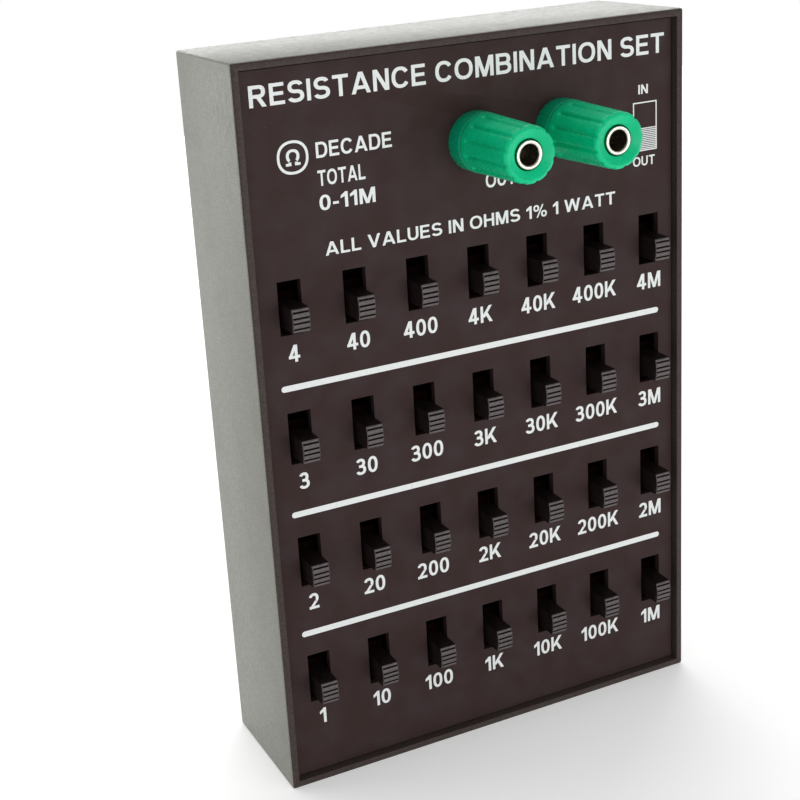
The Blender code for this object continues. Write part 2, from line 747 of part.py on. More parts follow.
def main():
    clear_scene()
    case_plastic = plastic_or_metal("case_plastic", (0.085, 0.070, 0.065), 0.5)
    panel_plastic = plastic_or_metal("panel_plastic", (0.045, 0.033, 0.031), 0.42)
    knob_plastic = plastic_or_metal("knob_plastic", (0.035, 0.028, 0.028), 0.38)
    green = plastic_or_metal("green_plastic", (0.004, 0.330, 0.150), 0.30)
    dark_green = plastic_or_metal("dark_green_plastic", (0.002, 0.140, 0.070), 0.35)
    nickel = plastic_or_metal("nickel_plate", (0.78, 0.75, 0.68), 0.20, 1.0)
    brass = plastic_or_metal("brass", (0.62, 0.46, 0.20), 0.30, 1.0)
    insulation = plastic_or_metal("insulation", (0.020, 0.020, 0.022), 0.50)
    laminate = plastic_or_metal("board_laminate", (0.030, 0.110, 0.045), 0.45)
    steel = plastic_or_metal("screw_steel", (0.10, 0.10, 0.11), 0.35, 1.0)
    rubber = plastic_or_metal("foot_rubber", (0.022, 0.022, 0.024), 0.80)

    make_case(case_plastic)
    make_panel(panel_plastic)
    make_board(laminate)
    make_sliders(knob_plastic)
    for side in POST_X:
        make_post(side, green, dark_green, nickel, brass, insulation)
        make_output_wire(side, insulation)
    make_case_screws(steel)
    make_feet(rubber)


main()
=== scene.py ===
"""Looks of the resistance substitution box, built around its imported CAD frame.

The frame gives every place and size, in metres, +Z up, with the panel facing -Y.
Pieces with a fine shape, such as the ribbed knobs and the fluted post caps, are made here
and stand for their CAD nodes. The case and the panel are their CAD shapes with soft edges,
and the screws, feet, nuts, lugs and wires are the CAD nodes themselves.
"""
import json
import math

import bmesh
import bpy
from mathutils import Matrix, Vector
from mathutils.geometry import delaunay_2d_cdt

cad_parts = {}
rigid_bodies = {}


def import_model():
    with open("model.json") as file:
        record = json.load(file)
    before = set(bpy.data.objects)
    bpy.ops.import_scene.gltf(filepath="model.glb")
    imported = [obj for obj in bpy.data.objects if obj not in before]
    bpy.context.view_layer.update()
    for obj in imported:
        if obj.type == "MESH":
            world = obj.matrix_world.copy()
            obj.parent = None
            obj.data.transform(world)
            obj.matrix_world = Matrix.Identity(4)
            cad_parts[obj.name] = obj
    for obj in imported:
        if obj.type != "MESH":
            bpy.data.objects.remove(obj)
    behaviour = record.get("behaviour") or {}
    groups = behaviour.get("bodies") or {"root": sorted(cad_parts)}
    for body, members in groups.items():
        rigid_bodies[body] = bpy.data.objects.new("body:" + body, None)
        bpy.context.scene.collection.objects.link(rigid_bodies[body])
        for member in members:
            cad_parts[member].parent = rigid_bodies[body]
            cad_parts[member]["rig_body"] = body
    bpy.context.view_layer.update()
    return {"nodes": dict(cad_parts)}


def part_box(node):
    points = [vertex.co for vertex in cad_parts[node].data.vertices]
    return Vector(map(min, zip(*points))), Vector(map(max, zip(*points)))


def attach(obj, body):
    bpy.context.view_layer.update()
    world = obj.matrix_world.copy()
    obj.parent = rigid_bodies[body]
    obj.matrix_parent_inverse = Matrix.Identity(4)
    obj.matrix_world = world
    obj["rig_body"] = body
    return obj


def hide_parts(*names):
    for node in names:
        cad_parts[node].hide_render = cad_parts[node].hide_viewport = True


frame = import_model()

MM = 0.001
PANEL_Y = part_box("front_panel")[0].y
SIDES = ("left", "right")
DECADES = ("1", "10", "100", "1k", "10k", "100k", "1m")
MULTIPLIERS = ("4", "3", "2", "1")
RESISTOR_COLOURS = {
    "body": (0.10, 0.30, 0.48), "black": (0.010, 0.010, 0.010), "brown": (0.13, 0.045, 0.015),
    "red": (0.50, 0.020, 0.015), "orange": (0.75, 0.18, 0.015), "yellow": (0.78, 0.55, 0.03),
    "gold": (0.45, 0.30, 0.08), "silver": (0.45, 0.46, 0.47),
}


# ---------------------------------------------------------------- materials

class Surface:
    """A Principled material whose colour, gloss and relief vary across the piece."""

    def __init__(self, name, colour, roughness, metallic=0.0, **sockets):
        self.material = bpy.data.materials.new(name)
        self.material.use_nodes = True
        self.nodes = self.material.node_tree.nodes
        self.links = self.material.node_tree.links
        self.shader = self.nodes["Principled BSDF"]
        self.colour = (*colour, 1.0)
        self.place = self.nodes.new("ShaderNodeTexCoord").outputs["Object"]
        self.shader.inputs["Base Color"].default_value = self.colour
        self.shader.inputs["Roughness"].default_value = roughness
        self.shader.inputs["Metallic"].default_value = metallic
        for socket, value in sockets.items():
            self.shader.inputs[socket.replace("_", " ")].default_value = value

    def noise(self, size, detail=2.0, stretch=(1.0, 1.0, 1.0)):
        """A noise from 0 to 1 whose blotches are about this size, in metres."""
        mapping = self.nodes.new("ShaderNodeMapping")
        mapping.inputs["Scale"].default_value = [factor / size for factor in stretch]
        self.links.new(self.place, mapping.inputs["Vector"])
        noise = self.nodes.new("ShaderNodeTexNoise")
        noise.inputs["Scale"].default_value = 1.0
        noise.inputs["Detail"].default_value = detail
        self.links.new(mapping.outputs["Vector"], noise.inputs["Vector"])
        return noise.outputs["Fac"]

    def spread(self, value, low, high, to_low=0.0, to_high=1.0):
        """Stretch the part of a value between low and high over a new range."""
        node = self.nodes.new("ShaderNodeMapRange")
        node.inputs["From Min"].default_value = low
        node.inputs["From Max"].default_value = high
        node.inputs["To Min"].default_value = to_low
        node.inputs["To Max"].default_value = to_high
        self.links.new(value, node.inputs["Value"])
        return node.outputs["Result"]

    def tint(self, value, colour):
        """Blend what the colour is so far towards another one where the value is high."""
        mix = self.nodes.new("ShaderNodeMix")
        mix.data_type = "RGBA"
        base = self.shader.inputs["Base Color"]
        if base.links:
            self.links.new(base.links[0].from_socket, mix.inputs[6])
        else:
            mix.inputs[6].default_value = self.colour
        mix.inputs[7].default_value = (*colour, 1.0)
        self.links.new(value, mix.inputs["Factor"])
        self.links.new(mix.outputs[2], base)

    def gloss(self, value, low, high):
        """Let the roughness follow a value."""
        self.links.new(self.spread(value, 0.3, 0.7, low, high), self.shader.inputs["Roughness"])

    def relief(self, value, depth):
        """Raise the surface by up to this depth, in metres, where the value is high."""
        bump = self.nodes.new("ShaderNodeBump")
        bump.inputs["Distance"].default_value = depth
        bump.inputs["Strength"].default_value = 1.0
        self.links.new(value, bump.inputs["Height"])
        if self.shader.inputs["Normal"].links:
            previous = self.shader.inputs["Normal"].links[0].from_socket
            self.links.new(previous, bump.inputs["Normal"])
        self.links.new(bump.outputs["Normal"], self.shader.inputs["Normal"])


def make_materials():
    surfaces = {}

    # Painted light: the case's outside faces get this lighter grey for the bright light on its
    # sides and top; the plastic's own dark colour is case_rim below.
    case = Surface("case_plastic", (0.165, 0.167, 0.143), 0.52, Specular_IOR_Level=0.25)
    grain = case.noise(0.35 * MM, 2.0)
    case.relief(grain, 0.035 * MM)
    case.tint(case.spread(grain, 0.40, 0.62), (0.220, 0.222, 0.192))
    case.tint(case.spread(case.noise(7 * MM), 0.45, 0.75, 0.0, 0.3), (0.135, 0.136, 0.116))
    case.gloss(case.noise(1.2 * MM), 0.44, 0.56)
    surfaces["case_plastic"] = case

    panel = Surface("panel_plastic", (0.038, 0.0235, 0.0220), 0.42, Specular_IOR_Level=0.05)
    blotch = panel.noise(6 * MM, 3.0)
    panel.tint(panel.spread(blotch, 0.40, 0.70, 0.0, 0.8), (0.048, 0.032, 0.034))
    panel.tint(panel.spread(panel.noise(0.35 * MM), 0.72, 0.76), (0.070, 0.060, 0.056))
    panel.relief(panel.noise(0.25 * MM), 0.006 * MM)
    panel.gloss(panel.noise(4 * MM, 3.0), 0.36, 0.50)
    surfaces["panel_plastic"] = panel

    rim = Surface("case_rim", (0.040, 0.028, 0.025), 0.50, Specular_IOR_Level=0.15)
    rim_grain = rim.noise(0.35 * MM, 2.0)
    rim.relief(rim_grain, 0.025 * MM)
    rim.tint(rim.spread(rim_grain, 0.40, 0.62), (0.056, 0.042, 0.038))
    surfaces["case_rim"] = rim

    ink = Surface("panel_print", (0.72, 0.75, 0.74), 0.50)
    ink.tint(ink.spread(ink.noise(0.5 * MM, 3.0), 0.52, 0.70, 0.0, 0.6), (0.60, 0.63, 0.63))
    ink.relief(ink.noise(0.15 * MM), 0.008 * MM)
    surfaces["panel_print"] = ink

    knob = Surface("knob_plastic", (0.008, 0.0045, 0.0045), 0.40, Specular_IOR_Level=0.25)
    knob.tint(knob.spread(knob.noise(0.8 * MM, 3.0), 0.45, 0.70), (0.013, 0.008, 0.008))
    knob.relief(knob.noise(0.20 * MM), 0.008 * MM)
    knob.gloss(knob.noise(1.2 * MM), 0.28, 0.40)
    surfaces["knob_plastic"] = knob

    # Painted highlight: the knobs' ridge tops get this lighter copy of the dark knob plastic, for
    # the light they catch.
    ridge_highlight_surface = Surface("knob_ridge_highlight", (0.085, 0.068, 0.070), 0.50)
    ridge_highlight_surface.tint(ridge_highlight_surface.spread(ridge_highlight_surface.noise(0.6 * MM, 3.0), 0.40, 0.70), (0.050, 0.038, 0.039))
    ridge_highlight_surface.relief(ridge_highlight_surface.noise(0.20 * MM), 0.008 * MM)
    surfaces["knob_ridge_highlight"] = ridge_highlight_surface

    # The collar's green is a darker copy of the caps' green plastic: painted shade on the collar.
    for name, deep, bright in (
        ("post_green", (0.0, 0.470, 0.205), (0.0, 0.540, 0.245)),
        ("collar_green", (0.0, 0.300, 0.145), (0.0, 0.340, 0.165)),
    ):
        green = Surface(name, deep, 0.30, Subsurface_Weight=0.10, Specular_IOR_Level=0.2)
        green.shader.inputs["Subsurface Radius"].default_value = (0.1, 1.0, 0.5)
        green.shader.inputs["Subsurface Scale"].default_value = 0.5 * MM
        green.tint(green.spread(green.noise(4.0 * MM, 2.0), 0.35, 0.70), bright)
        green.relief(green.noise(0.50 * MM), 0.002 * MM)
        green.gloss(green.noise(1.0 * MM), 0.24, 0.32)
        surfaces[name] = green

    nickel = Surface("nickel_plate", (0.68, 0.64, 0.56), 0.24, 1.0)
    nickel.tint(nickel.spread(nickel.noise(0.5 * MM, 3.0), 0.50, 0.72), (0.48, 0.43, 0.35))
    nickel.relief(nickel.noise(0.12 * MM), 0.002 * MM)
    nickel.gloss(nickel.noise(0.4 * MM), 0.14, 0.28)
    surfaces["nickel_plate"] = nickel

    brass = Surface("brass", (0.66, 0.47, 0.19), 0.26, 1.0)
    brass.tint(brass.spread(brass.noise(0.8 * MM, 3.0), 0.50, 0.75), (0.45, 0.30, 0.12))
    brass.gloss(brass.noise(0.5 * MM), 0.20, 0.38)
    surfaces["brass"] = brass

    lining = Surface("socket_lining", (0.55, 0.27, 0.17), 0.60)
    lining.tint(lining.spread(lining.noise(0.7 * MM, 3.0), 0.45, 0.70), (0.38, 0.17, 0.10))
    surfaces["socket_lining"] = lining

    insulation = Surface("insulation", (0.020, 0.020, 0.022), 0.45)
    insulation.tint(insulation.spread(insulation.noise(1.0 * MM), 0.4, 0.7), (0.030, 0.030, 0.034))
    insulation.relief(insulation.noise(0.30 * MM), 0.010 * MM)
    surfaces["insulation"] = insulation

    # The switch housings and knob carriages are black plastic, made darker still and without gloss:
    # painted shade for the inside of the slots.
    housing = Surface("switch_housing_slot_shade", (0.004, 0.001, 0.001), 0.70, Specular_IOR_Level=0.0)
    housing.tint(housing.spread(housing.noise(1.0 * MM), 0.4, 0.7), (0.006, 0.002, 0.002))
    surfaces["switch_housing_slot_shade"] = housing

    laminate = Surface("board_laminate", (0.012, 0.085, 0.030), 0.35)
    weave = laminate.noise(0.8 * MM, 1.0, (1.0, 1.0, 0.15))
    laminate.tint(laminate.spread(weave, 0.40, 0.65, 0.0, 0.7), (0.020, 0.120, 0.045))
    laminate.relief(weave, 0.010 * MM)
    surfaces["board_laminate"] = laminate

    steel = Surface("screw_steel", (0.16, 0.16, 0.17), 0.32, 1.0)
    steel.tint(steel.spread(steel.noise(0.6 * MM, 3.0), 0.45, 0.70), (0.09, 0.09, 0.10))
    steel.relief(steel.noise(0.20 * MM), 0.005 * MM)
    steel.gloss(steel.noise(0.5 * MM), 0.26, 0.45)
    surfaces["screw_steel"] = steel

    rubber = Surface("foot_rubber", (0.020, 0.020, 0.021), 0.75)
    rubber.tint(rubber.spread(rubber.noise(1.5 * MM, 3.0), 0.45, 0.70), (0.034, 0.033, 0.033))
    rubber.relief(rubber.noise(0.20 * MM), 0.015 * MM)
    surfaces["foot_rubber"] = rubber

    for name, colour in RESISTOR_COLOURS.items():
        paint = Surface(f"resistor_{name}", colour, 0.35)
        darker = [0.7 * share for share in colour]
        paint.tint(paint.spread(paint.noise(0.6 * MM, 3.0), 0.45, 0.75, 0.0, 0.7), darker)
        surfaces[f"resistor_{name}"] = paint

    return {name: surface.material for name, surface in surfaces.items()}


MATERIALS = make_materials()


# ------------------------------------------------------------------- pieces

def new_piece(name, bm, slot, body, nodes=(), smooth_angle=30.0):
    """Turn a bmesh, drawn in the row frame, into a finished piece on its body."""
    bmesh.ops.recalc_face_normals(bm, faces=bm.faces)
    mesh = bpy.data.meshes.new(name)
    bm.to_mesh(mesh)
    bm.free()
    return finish_piece(name, mesh, slot, body, nodes, smooth_angle)


def finish_piece(name, mesh, slot, body, nodes=(), smooth_angle=30.0):
    mesh.shade_smooth()
    mesh.set_sharp_from_angle(angle=math.radians(smooth_angle))
    mesh.materials.clear()
    mesh.materials.append(MATERIALS[slot])
    piece = bpy.data.objects.new(name, mesh)
    bpy.context.scene.collection.objects.link(piece)
    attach(piece, body)
    if nodes:
        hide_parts(*nodes)
    return piece


def body_of(node):
    return frame["nodes"][node]["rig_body"]


def softened(node, slot, radius, segments=2, angle=50.0):
    """A copy of a CAD node with its sharp edges rounded, which stands for the node."""
    bm = bmesh.new()
    bm.from_mesh(frame["nodes"][node].data)
    bmesh.ops.remove_doubles(bm, verts=bm.verts, dist=1e-6)
    bmesh.ops.join_triangles(
        bm, faces=bm.faces, angle_face_threshold=math.radians(1.0),
        angle_shape_threshold=math.radians(40.0),
    )
    mesh = bpy.data.meshes.new(node)
    bm.to_mesh(mesh)
    bm.free()
    piece = finish_piece(f"{node}_shell", mesh, slot, body_of(node), (node,), angle)
    bevel = piece.modifiers.new("soft_edges", "BEVEL")
    bevel.width = radius
    bevel.segments = segments
    bevel.limit_method = "ANGLE"
    bevel.angle_limit = math.radians(angle)
    bevel.harden_normals = True
    return piece


def rounded_outline(corners, steps=4):
    """Points of an outline of (radius, y, fillet), with an arc at each corner's fillet."""
    points = []
    count = len(corners)
    for index, (radius, y, fillet) in enumerate(corners):
        corner = Vector((radius, y))
        if fillet == 0.0:
            points.append(corner)
            continue
        before = Vector(corners[index - 1][:2]) - corner
        after = Vector(corners[(index + 1) % count][:2]) - corner
        half = before.angle(after) / 2
        reach = fillet / math.tan(half)
        start = corner + before.normalized() * reach
        end = corner + after.normalized() * reach
        for step in range(steps + 1):
            t = step / steps
            weight = 2.0 * t * (1.0 - t) * math.sin(half)
            ends = start * (1.0 - t) ** 2 + end * t ** 2
            points.append((ends + corner * weight) / ((1.0 - t) ** 2 + t ** 2 + weight))
    return points


def turned(outline, centre, segments=64, carve=None, closed=True):
    """Turn an outline about the line along Y through the centre.

    carve(radius, y, angle) says how far a point of the surface is pushed inwards.
    """
    bm = bmesh.new()
    rings = []
    for radius, y in outline:
        ring = []
        for step in range(segments if radius > 0.0 else 1):
            angle = 2.0 * math.pi * step / segments
            reach = radius - (carve(radius, y, angle) if carve else 0.0)
            x = centre.x + reach * math.cos(angle)
            z = centre.z + reach * math.sin(angle)
            ring.append(bm.verts.new((x, y, z)))
        rings.append(ring)
    pairs = list(zip(rings, rings[1:]))
    if closed:
        pairs.append((rings[-1], rings[0]))
    for first, second in pairs:
        for step in range(segments):
            corners = [first[step % len(first)], first[(step + 1) % len(first)]]
            corners += [second[(step + 1) % len(second)], second[step % len(second)]]
            unique = list(dict.fromkeys(corners))
            if len(unique) > 2:
                bm.faces.new(unique)
    return bm


# ------------------------------------------------------------ case and panel

CASE_EDGE = 0.12 * MM
PANEL_EDGE = 0.08 * MM
SKIN = 0.2 * MM


def make_case_and_panel():
    """The case's rim and inside are darker than its outside faces: the case is one dark plastic,
    and its outside faces carry a lighter copy of it, painted light for the bright light on its
    sides and top.
    """
    shell = softened("case", "case_plastic", CASE_EDGE)
    shell.data.materials.append(MATERIALS["case_rim"])
    low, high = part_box("case")
    # Faces towards the front or inside keep the dark plastic; the other faces keep the lighter
    # grey, painted light.
    for face in shell.data.polygons:
        x, y, z = face.center
        across = low.x + SKIN < x < high.x - SKIN
        along = low.z + SKIN < z < high.z - SKIN
        faces_front = face.normal.y < -0.9
        if faces_front or (across and along and y < high.y - SKIN):
            face.material_index = 1
    softened("front_panel", "panel_plastic", PANEL_EDGE)


# ---------------------------------------------------------------- lettering
# Letters are drawn on a grid with a capital height of 1, from straight and bowed strokes.

STEM = 0.19
BAR = 0.165
INK = 0.03 * MM


def block(x0, y0, x1, y1):
    return [(x0, y0), (x1, y0), (x1, y1), (x0, y1)]


def slant(x0, y0, x1, y1, thickness=STEM):
    """A leaning stroke with level ends; the x values are its left edge."""
    width = thickness * math.hypot(x1 - x0, y1 - y0) / abs(y1 - y0)
    return [(x0, y0), (x0 + width, y0), (x1 + width, y1), (x1, y1)]


def bow(x, y, width, height, start, end, stem=STEM, bar=BAR):
    """Part of a ring between two angles in degrees; width and height are its outer radii."""
    squareness = 2.0 / 2.25
    steps = max(2, round(abs(end - start) / 9))
    outer, inner = [], []
    for step in range(steps + 1):
        angle = math.radians(start + (end - start) * step / steps)
        cos, sin = math.cos(angle), math.sin(angle)
        across = math.copysign(abs(cos) ** squareness, cos)
        up = math.copysign(abs(sin) ** squareness, sin)
        outer.append((x + width * across, y + height * up))
        inner.append((x + (width - stem) * across, y + (height - bar) * up))
    return outer + inner[::-1]


def ring(x, y, width, height, stem=STEM, bar=BAR):
    halves = ((0.0, 180.0), (180.0, 360.0))
    return [bow(x, y, width, height, start, end, stem, bar) for start, end in halves]


def glyphs():
    """Each character's width and strokes."""
    half_s = (1.0 + BAR) / 4
    stem = block(0.0, 0.0, STEM, 1.0)
    top, foot = 1.0 - BAR, BAR
    return {
        " ": (0.24, []),
        "-": (0.36, [block(0.0, 0.30, 0.36, 0.30 + BAR)]),
        "A": (0.98, [slant(0.0, 0.0, 0.38, 1.0), slant(0.78, 0.0, 0.40, 1.0),
                     block(0.20, 0.20, 0.78, 0.20 + BAR)]),
        "B": (0.84, [stem, block(0.1, top, 0.48, 1.0), block(0.1, 0.43, 0.48, 0.43 + BAR),
                     block(0.1, 0.0, 0.48, foot), bow(0.48, 0.715, 0.31, 0.285, -90, 90),
                     bow(0.46, 0.298, 0.38, 0.298, -90, 90)]),
        "C": (0.90, [bow(0.46, 0.5, 0.46, 0.5, 32, 328)]),
        "D": (0.86, [stem, block(0.1, top, 0.42, 1.0), block(0.1, 0.0, 0.42, foot),
                     bow(0.41, 0.5, 0.45, 0.5, -90, 90)]),
        "E": (0.74, [stem, block(0.1, top, 0.72, 1.0), block(0.1, 0.0, 0.74, foot),
                     block(0.1, 0.43, 0.68, 0.43 + BAR)]),
        "H": (0.82, [stem, block(0.82 - STEM, 0.0, 0.82, 1.0),
                     block(0.1, 0.43, 0.7, 0.43 + BAR)]),
        "I": (STEM, [stem]),
        "K": (0.88, [stem, slant(0.06, 0.30, 0.60, 1.0), slant(0.64, 0.0, 0.26, 0.62)]),
        "L": (0.68, [stem, block(0.1, 0.0, 0.68, foot)]),
        "M": (1.00, [stem, block(1.0 - STEM, 0.0, 1.0, 1.0), slant(0.40, 0.0, 0.05, 1.0),
                     slant(0.40, 0.0, 0.75, 1.0)]),
        "N": (0.82, [stem, block(0.82 - STEM, 0.0, 0.82, 1.0), slant(0.59, 0.0, 0.0, 1.0)]),
        "O": (0.98, ring(0.49, 0.5, 0.49, 0.5)),
        "P": (0.78, [stem, block(0.1, top, 0.46, 1.0), block(0.1, 0.36, 0.46, 0.36 + BAR),
                     bow(0.45, 0.68, 0.33, 0.32, -90, 90)]),
        "R": (0.86, [stem, block(0.1, top, 0.48, 1.0), block(0.1, 0.41, 0.48, 0.41 + BAR),
                     bow(0.48, 0.705, 0.33, 0.295, -90, 90), slant(0.62, 0.0, 0.34, 0.45)]),
        "S": (0.82, [bow(0.41, 1.0 - half_s, 0.38, half_s, 20, 270),
                     bow(0.41, half_s, 0.41, half_s, -160, 90)]),
        "T": (0.80, [block(0.0, top, 0.80, 1.0), block(0.305, 0.0, 0.305 + STEM, 1.0)]),
        "U": (0.82, [block(0.0, 0.40, STEM, 1.0), block(0.82 - STEM, 0.40, 0.82, 1.0),
                     bow(0.41, 0.41, 0.41, 0.41, 180, 360)]),
        "V": (0.94, [slant(0.37, 0.0, 0.0, 1.0), slant(0.37, 0.0, 0.74, 1.0)]),
        "W": (1.32, [slant(0.24, 0.0, 0.0, 1.0), slant(0.24, 0.0, 0.56, 1.0),
                     slant(0.88, 0.0, 0.56, 1.0), slant(0.88, 0.0, 1.12, 1.0)]),
        "0": (0.68, ring(0.34, 0.5, 0.34, 0.5)),
        "1": (0.44, [block(0.25, 0.0, 0.44, 1.0),
                     [(0.0, 0.60), (0.34, 0.76), (0.34, 1.0), (0.29, 1.0), (0.0, 0.78)]]),
        "2": (0.68, [bow(0.33, 0.68, 0.33, 0.32, -42, 165), block(0.0, 0.0, 0.68, foot),
                     slant(0.0, 0.05, 0.39, 0.50, 0.17)]),
        "3": (0.68, [bow(0.32, 0.72, 0.31, 0.28, -90, 160), block(0.2, 0.44, 0.34, 0.44 + BAR),
                     bow(0.33, 0.30, 0.35, 0.30, -160, 90)]),
        "4": (0.74, [block(0.40, 0.0, 0.40 + STEM, 1.0), block(0.0, 0.21, 0.74, 0.21 + BAR),
                     slant(0.0, 0.30, 0.36, 1.0)]),
        "%": (1.10, [*ring(0.24, 0.74, 0.24, 0.26, 0.14, 0.13), slant(0.24, 0.0, 0.72, 1.0, 0.11),
                     *ring(0.86, 0.26, 0.24, 0.26, 0.14, 0.13)]),
        "Ω": (1.00, [bow(0.5, 0.58, 0.44, 0.42, -52, 232), block(0.02, 0.0, 0.38, foot),
                     block(0.62, 0.0, 0.98, foot), block(0.20, 0.0, 0.38, 0.22),
                     block(0.62, 0.0, 0.80, 0.22)]),
    }


GLYPHS = glyphs()
LETTER_GAP = 0.14


def text_width(text):
    return sum(GLYPHS[letter][0] + LETTER_GAP for letter in text) - LETTER_GAP


def text_outlines(text, x, z, height, width=None, align=0.5):
    """Outlines of one line of text; z is its base line and align 0, 0.5 or 1 sets its side."""
    natural = text_width(text)
    across = width / natural if width else height
    pen = x - align * natural * across
    outlines = []
    for letter in text:
        advance, strokes = GLYPHS[letter]
        for stroke in strokes:
            outlines.append([(pen + px * across, z + py * height) for px, py in stroke])
        pen += (advance + LETTER_GAP) * across
    return outlines


def print_on_panel(name, outlines):
    """One layer of ink: the union of the outlines, raised by the ink's thickness."""
    points, faces = [], []
    for outline in outlines:
        faces.append(list(range(len(points), len(points) + len(outline))))
        points += [Vector(point) for point in outline]
    merged, _, triangles, _, _, inside = delaunay_2d_cdt(points, [], faces, 1, 1e-7)
    bm = bmesh.new()
    verts = [bm.verts.new((p.x, PANEL_Y, p.y)) for p in merged]
    flat = []
    for triangle, strokes in zip(triangles, inside):
        if strokes:
            flat.append(bm.faces.new([verts[index] for index in triangle]))
    bmesh.ops.delete(bm, geom=[v for v in bm.verts if not v.link_faces], context="VERTS")
    raised = bmesh.ops.extrude_face_region(bm, geom=flat, use_keep_orig=True)
    moved = [item for item in raised["geom"] if isinstance(item, bmesh.types.BMVert)]
    bmesh.ops.translate(bm, verts=moved, vec=(0.0, -INK, 0.0))
    new_piece(name, bm, "panel_print", "root")


def slider_centre(multiplier, decade):
    low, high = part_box(slider_name(multiplier, decade))
    return (low + high) / 2


def slider_name(multiplier, decade):
    return f"slider_{decade.replace('1', multiplier, 1)}_ohm"


KNOB_REST_DROP = 1.30 * MM
LABEL_DROP = 10.6 * MM
LABEL_HEIGHT = 3.35 * MM
LABEL_SPREAD = 3.1 * MM
RULE_HALF_LENGTH = 42.8 * MM
RULE_THICKNESS = 1.2 * MM
RULE_DROP = 15.6 * MM


def capsule(x, z, half_length, thickness):
    """A level bar with round ends."""
    radius = thickness / 2
    outline = []
    for side, start in ((1.0, -90.0), (-1.0, 90.0)):
        for step in range(9):
            angle = math.radians(start + 180.0 * step / 8)
            px = side * (half_length - radius) + radius * math.cos(angle)
            outline.append((x + px, z + radius * math.sin(angle)))
    return outline


def print_values_and_rules():
    for row, multiplier in enumerate(MULTIPLIERS):
        labels = []
        for decade in DECADES:
            centre = slider_centre(multiplier, decade)
            text = decade.replace("1", multiplier, 1).upper()
            base = centre.z + KNOB_REST_DROP - LABEL_DROP
            width = text_width(text) * LABEL_SPREAD
            labels += text_outlines(text, centre.x, base, LABEL_HEIGHT, width)
        print_on_panel(f"print_values_row_{row + 1}", labels)
        if row < len(MULTIPLIERS) - 1:
            middle = slider_centre(multiplier, DECADES[3]).z + KNOB_REST_DROP - RULE_DROP
            rule = capsule(0.0, middle, RULE_HALF_LENGTH, RULE_THICKNESS)
            print_on_panel(f"print_rule_{row + 1}", [rule])


def outline_box(x0, z0, x1, z1, line):
    """The four sides of a frame drawn with a line of this thickness."""
    return [
        block(x0, z0, x1, z0 + line), block(x0, z1 - line, x1, z1),
        block(x0, z0, x0 + line, z1), block(x1 - line, z0, x1, z1),
    ]


# Lines of print as text, base line height, capital height and width.
HEADING = ("RESISTANCE COMBINATION SET", 137.6 * MM, 3.9 * MM, 88.8 * MM)
RATING = ("ALL VALUES IN OHMS 1% 1 WATT", 108.6 * MM, 2.55 * MM, 64.2 * MM)
OUTPUT = ("OUTPUT", 116.2 * MM, 2.9 * MM, 13.2 * MM)
RANGE = (
    ("DECADE", 127.0 * MM, 2.9 * MM, 15.4 * MM),
    ("TOTAL", 121.8 * MM, 2.9 * MM, 9.6 * MM),
    ("0-11M", 117.2 * MM, 2.9 * MM, 11.4 * MM),
)
GUIDE_IN = ("IN", 129.9 * MM, 1.85 * MM, 2.3 * MM)
GUIDE_OUT = ("OUT", 115.4 * MM, 1.95 * MM, 5.3 * MM)
RATING_SHIFT = 0.3 * MM
OUTPUT_SHIFT = -0.9 * MM
RANGE_LEFT = -32.3 * MM
SYMBOL_X, SYMBOL_Z = -36.9 * MM, 127.8 * MM
SYMBOL_RADIUS = 3.1 * MM
SYMBOL_LINE = 0.5 * MM
SYMBOL_HEIGHT = 3.0 * MM
GUIDE_X = (36.9 * MM, 42.6 * MM)
GUIDE_Z = (118.4 * MM, 128.3 * MM)
GUIDE_LINE = 0.25 * MM
GUIDE_HATCHES = 12
HATCHED_SHARE = 0.45
HATCH_INK = 0.55


def line_outlines(line, x, align=0.5):
    text, base, height, width = line
    return text_outlines(text, x, base, height, width, align)


def print_headings():
    print_on_panel("print_heading", line_outlines(HEADING, 0.0))
    print_on_panel("print_rating", line_outlines(RATING, RATING_SHIFT))
    post_middle = (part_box("left_post_stem")[0].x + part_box("right_post_stem")[1].x) / 2
    print_on_panel("print_output", line_outlines(OUTPUT, post_middle + OUTPUT_SHIFT))

    range_lines = []
    for line in RANGE:
        range_lines += line_outlines(line, RANGE_LEFT, 0.0)
    print_on_panel("print_range", range_lines)

    symbol = ring(SYMBOL_X, SYMBOL_Z, SYMBOL_RADIUS, SYMBOL_RADIUS, SYMBOL_LINE, SYMBOL_LINE)
    symbol += text_outlines("Ω", SYMBOL_X, SYMBOL_Z - SYMBOL_HEIGHT / 2, SYMBOL_HEIGHT)
    print_on_panel("print_ohm_symbol", symbol)


def print_slide_guide():
    """A small switch symbol: up is in, and down, the hatched part, is out."""
    x0, x1 = GUIDE_X
    z0, z1 = GUIDE_Z
    guide = outline_box(x0, z0, x1, z1, GUIDE_LINE)
    pitch = HATCHED_SHARE * (z1 - z0) / GUIDE_HATCHES
    for step in range(1, GUIDE_HATCHES + 1):
        base = z0 + pitch * step
        guide.append(block(x0, base, x1, base + HATCH_INK * pitch))
    middle = (x0 + x1) / 2
    guide += line_outlines(GUIDE_IN, middle - 0.4 * MM)
    guide += line_outlines(GUIDE_OUT, middle - 0.3 * MM)
    print_on_panel("print_slide_guide", guide)


# -------------------------------------------------------------------- knobs

KNOB_WIDTH = 3.6 * MM
KNOB_HEIGHT = 4.6 * MM
RIDGE_WIDTHS = (0.55 * MM, 0.80 * MM, 0.60 * MM, 0.80 * MM, 0.55 * MM)
GROOVE_DEPTH = 0.45 * MM
GROOVE_RIM = 0.12 * MM
KNOB_CROWN = 0.35 * MM
RIDGE_SKIN = 0.07 * MM
EDGE_RADIUS = 0.18 * MM
NECK_Y = PANEL_Y + 3.0 * MM
CARRIAGE_DEPTH = 2.0 * MM
CARRIAGE_WIDTH = 6.2 * MM
CARRIAGE_HEIGHT = 7.8 * MM


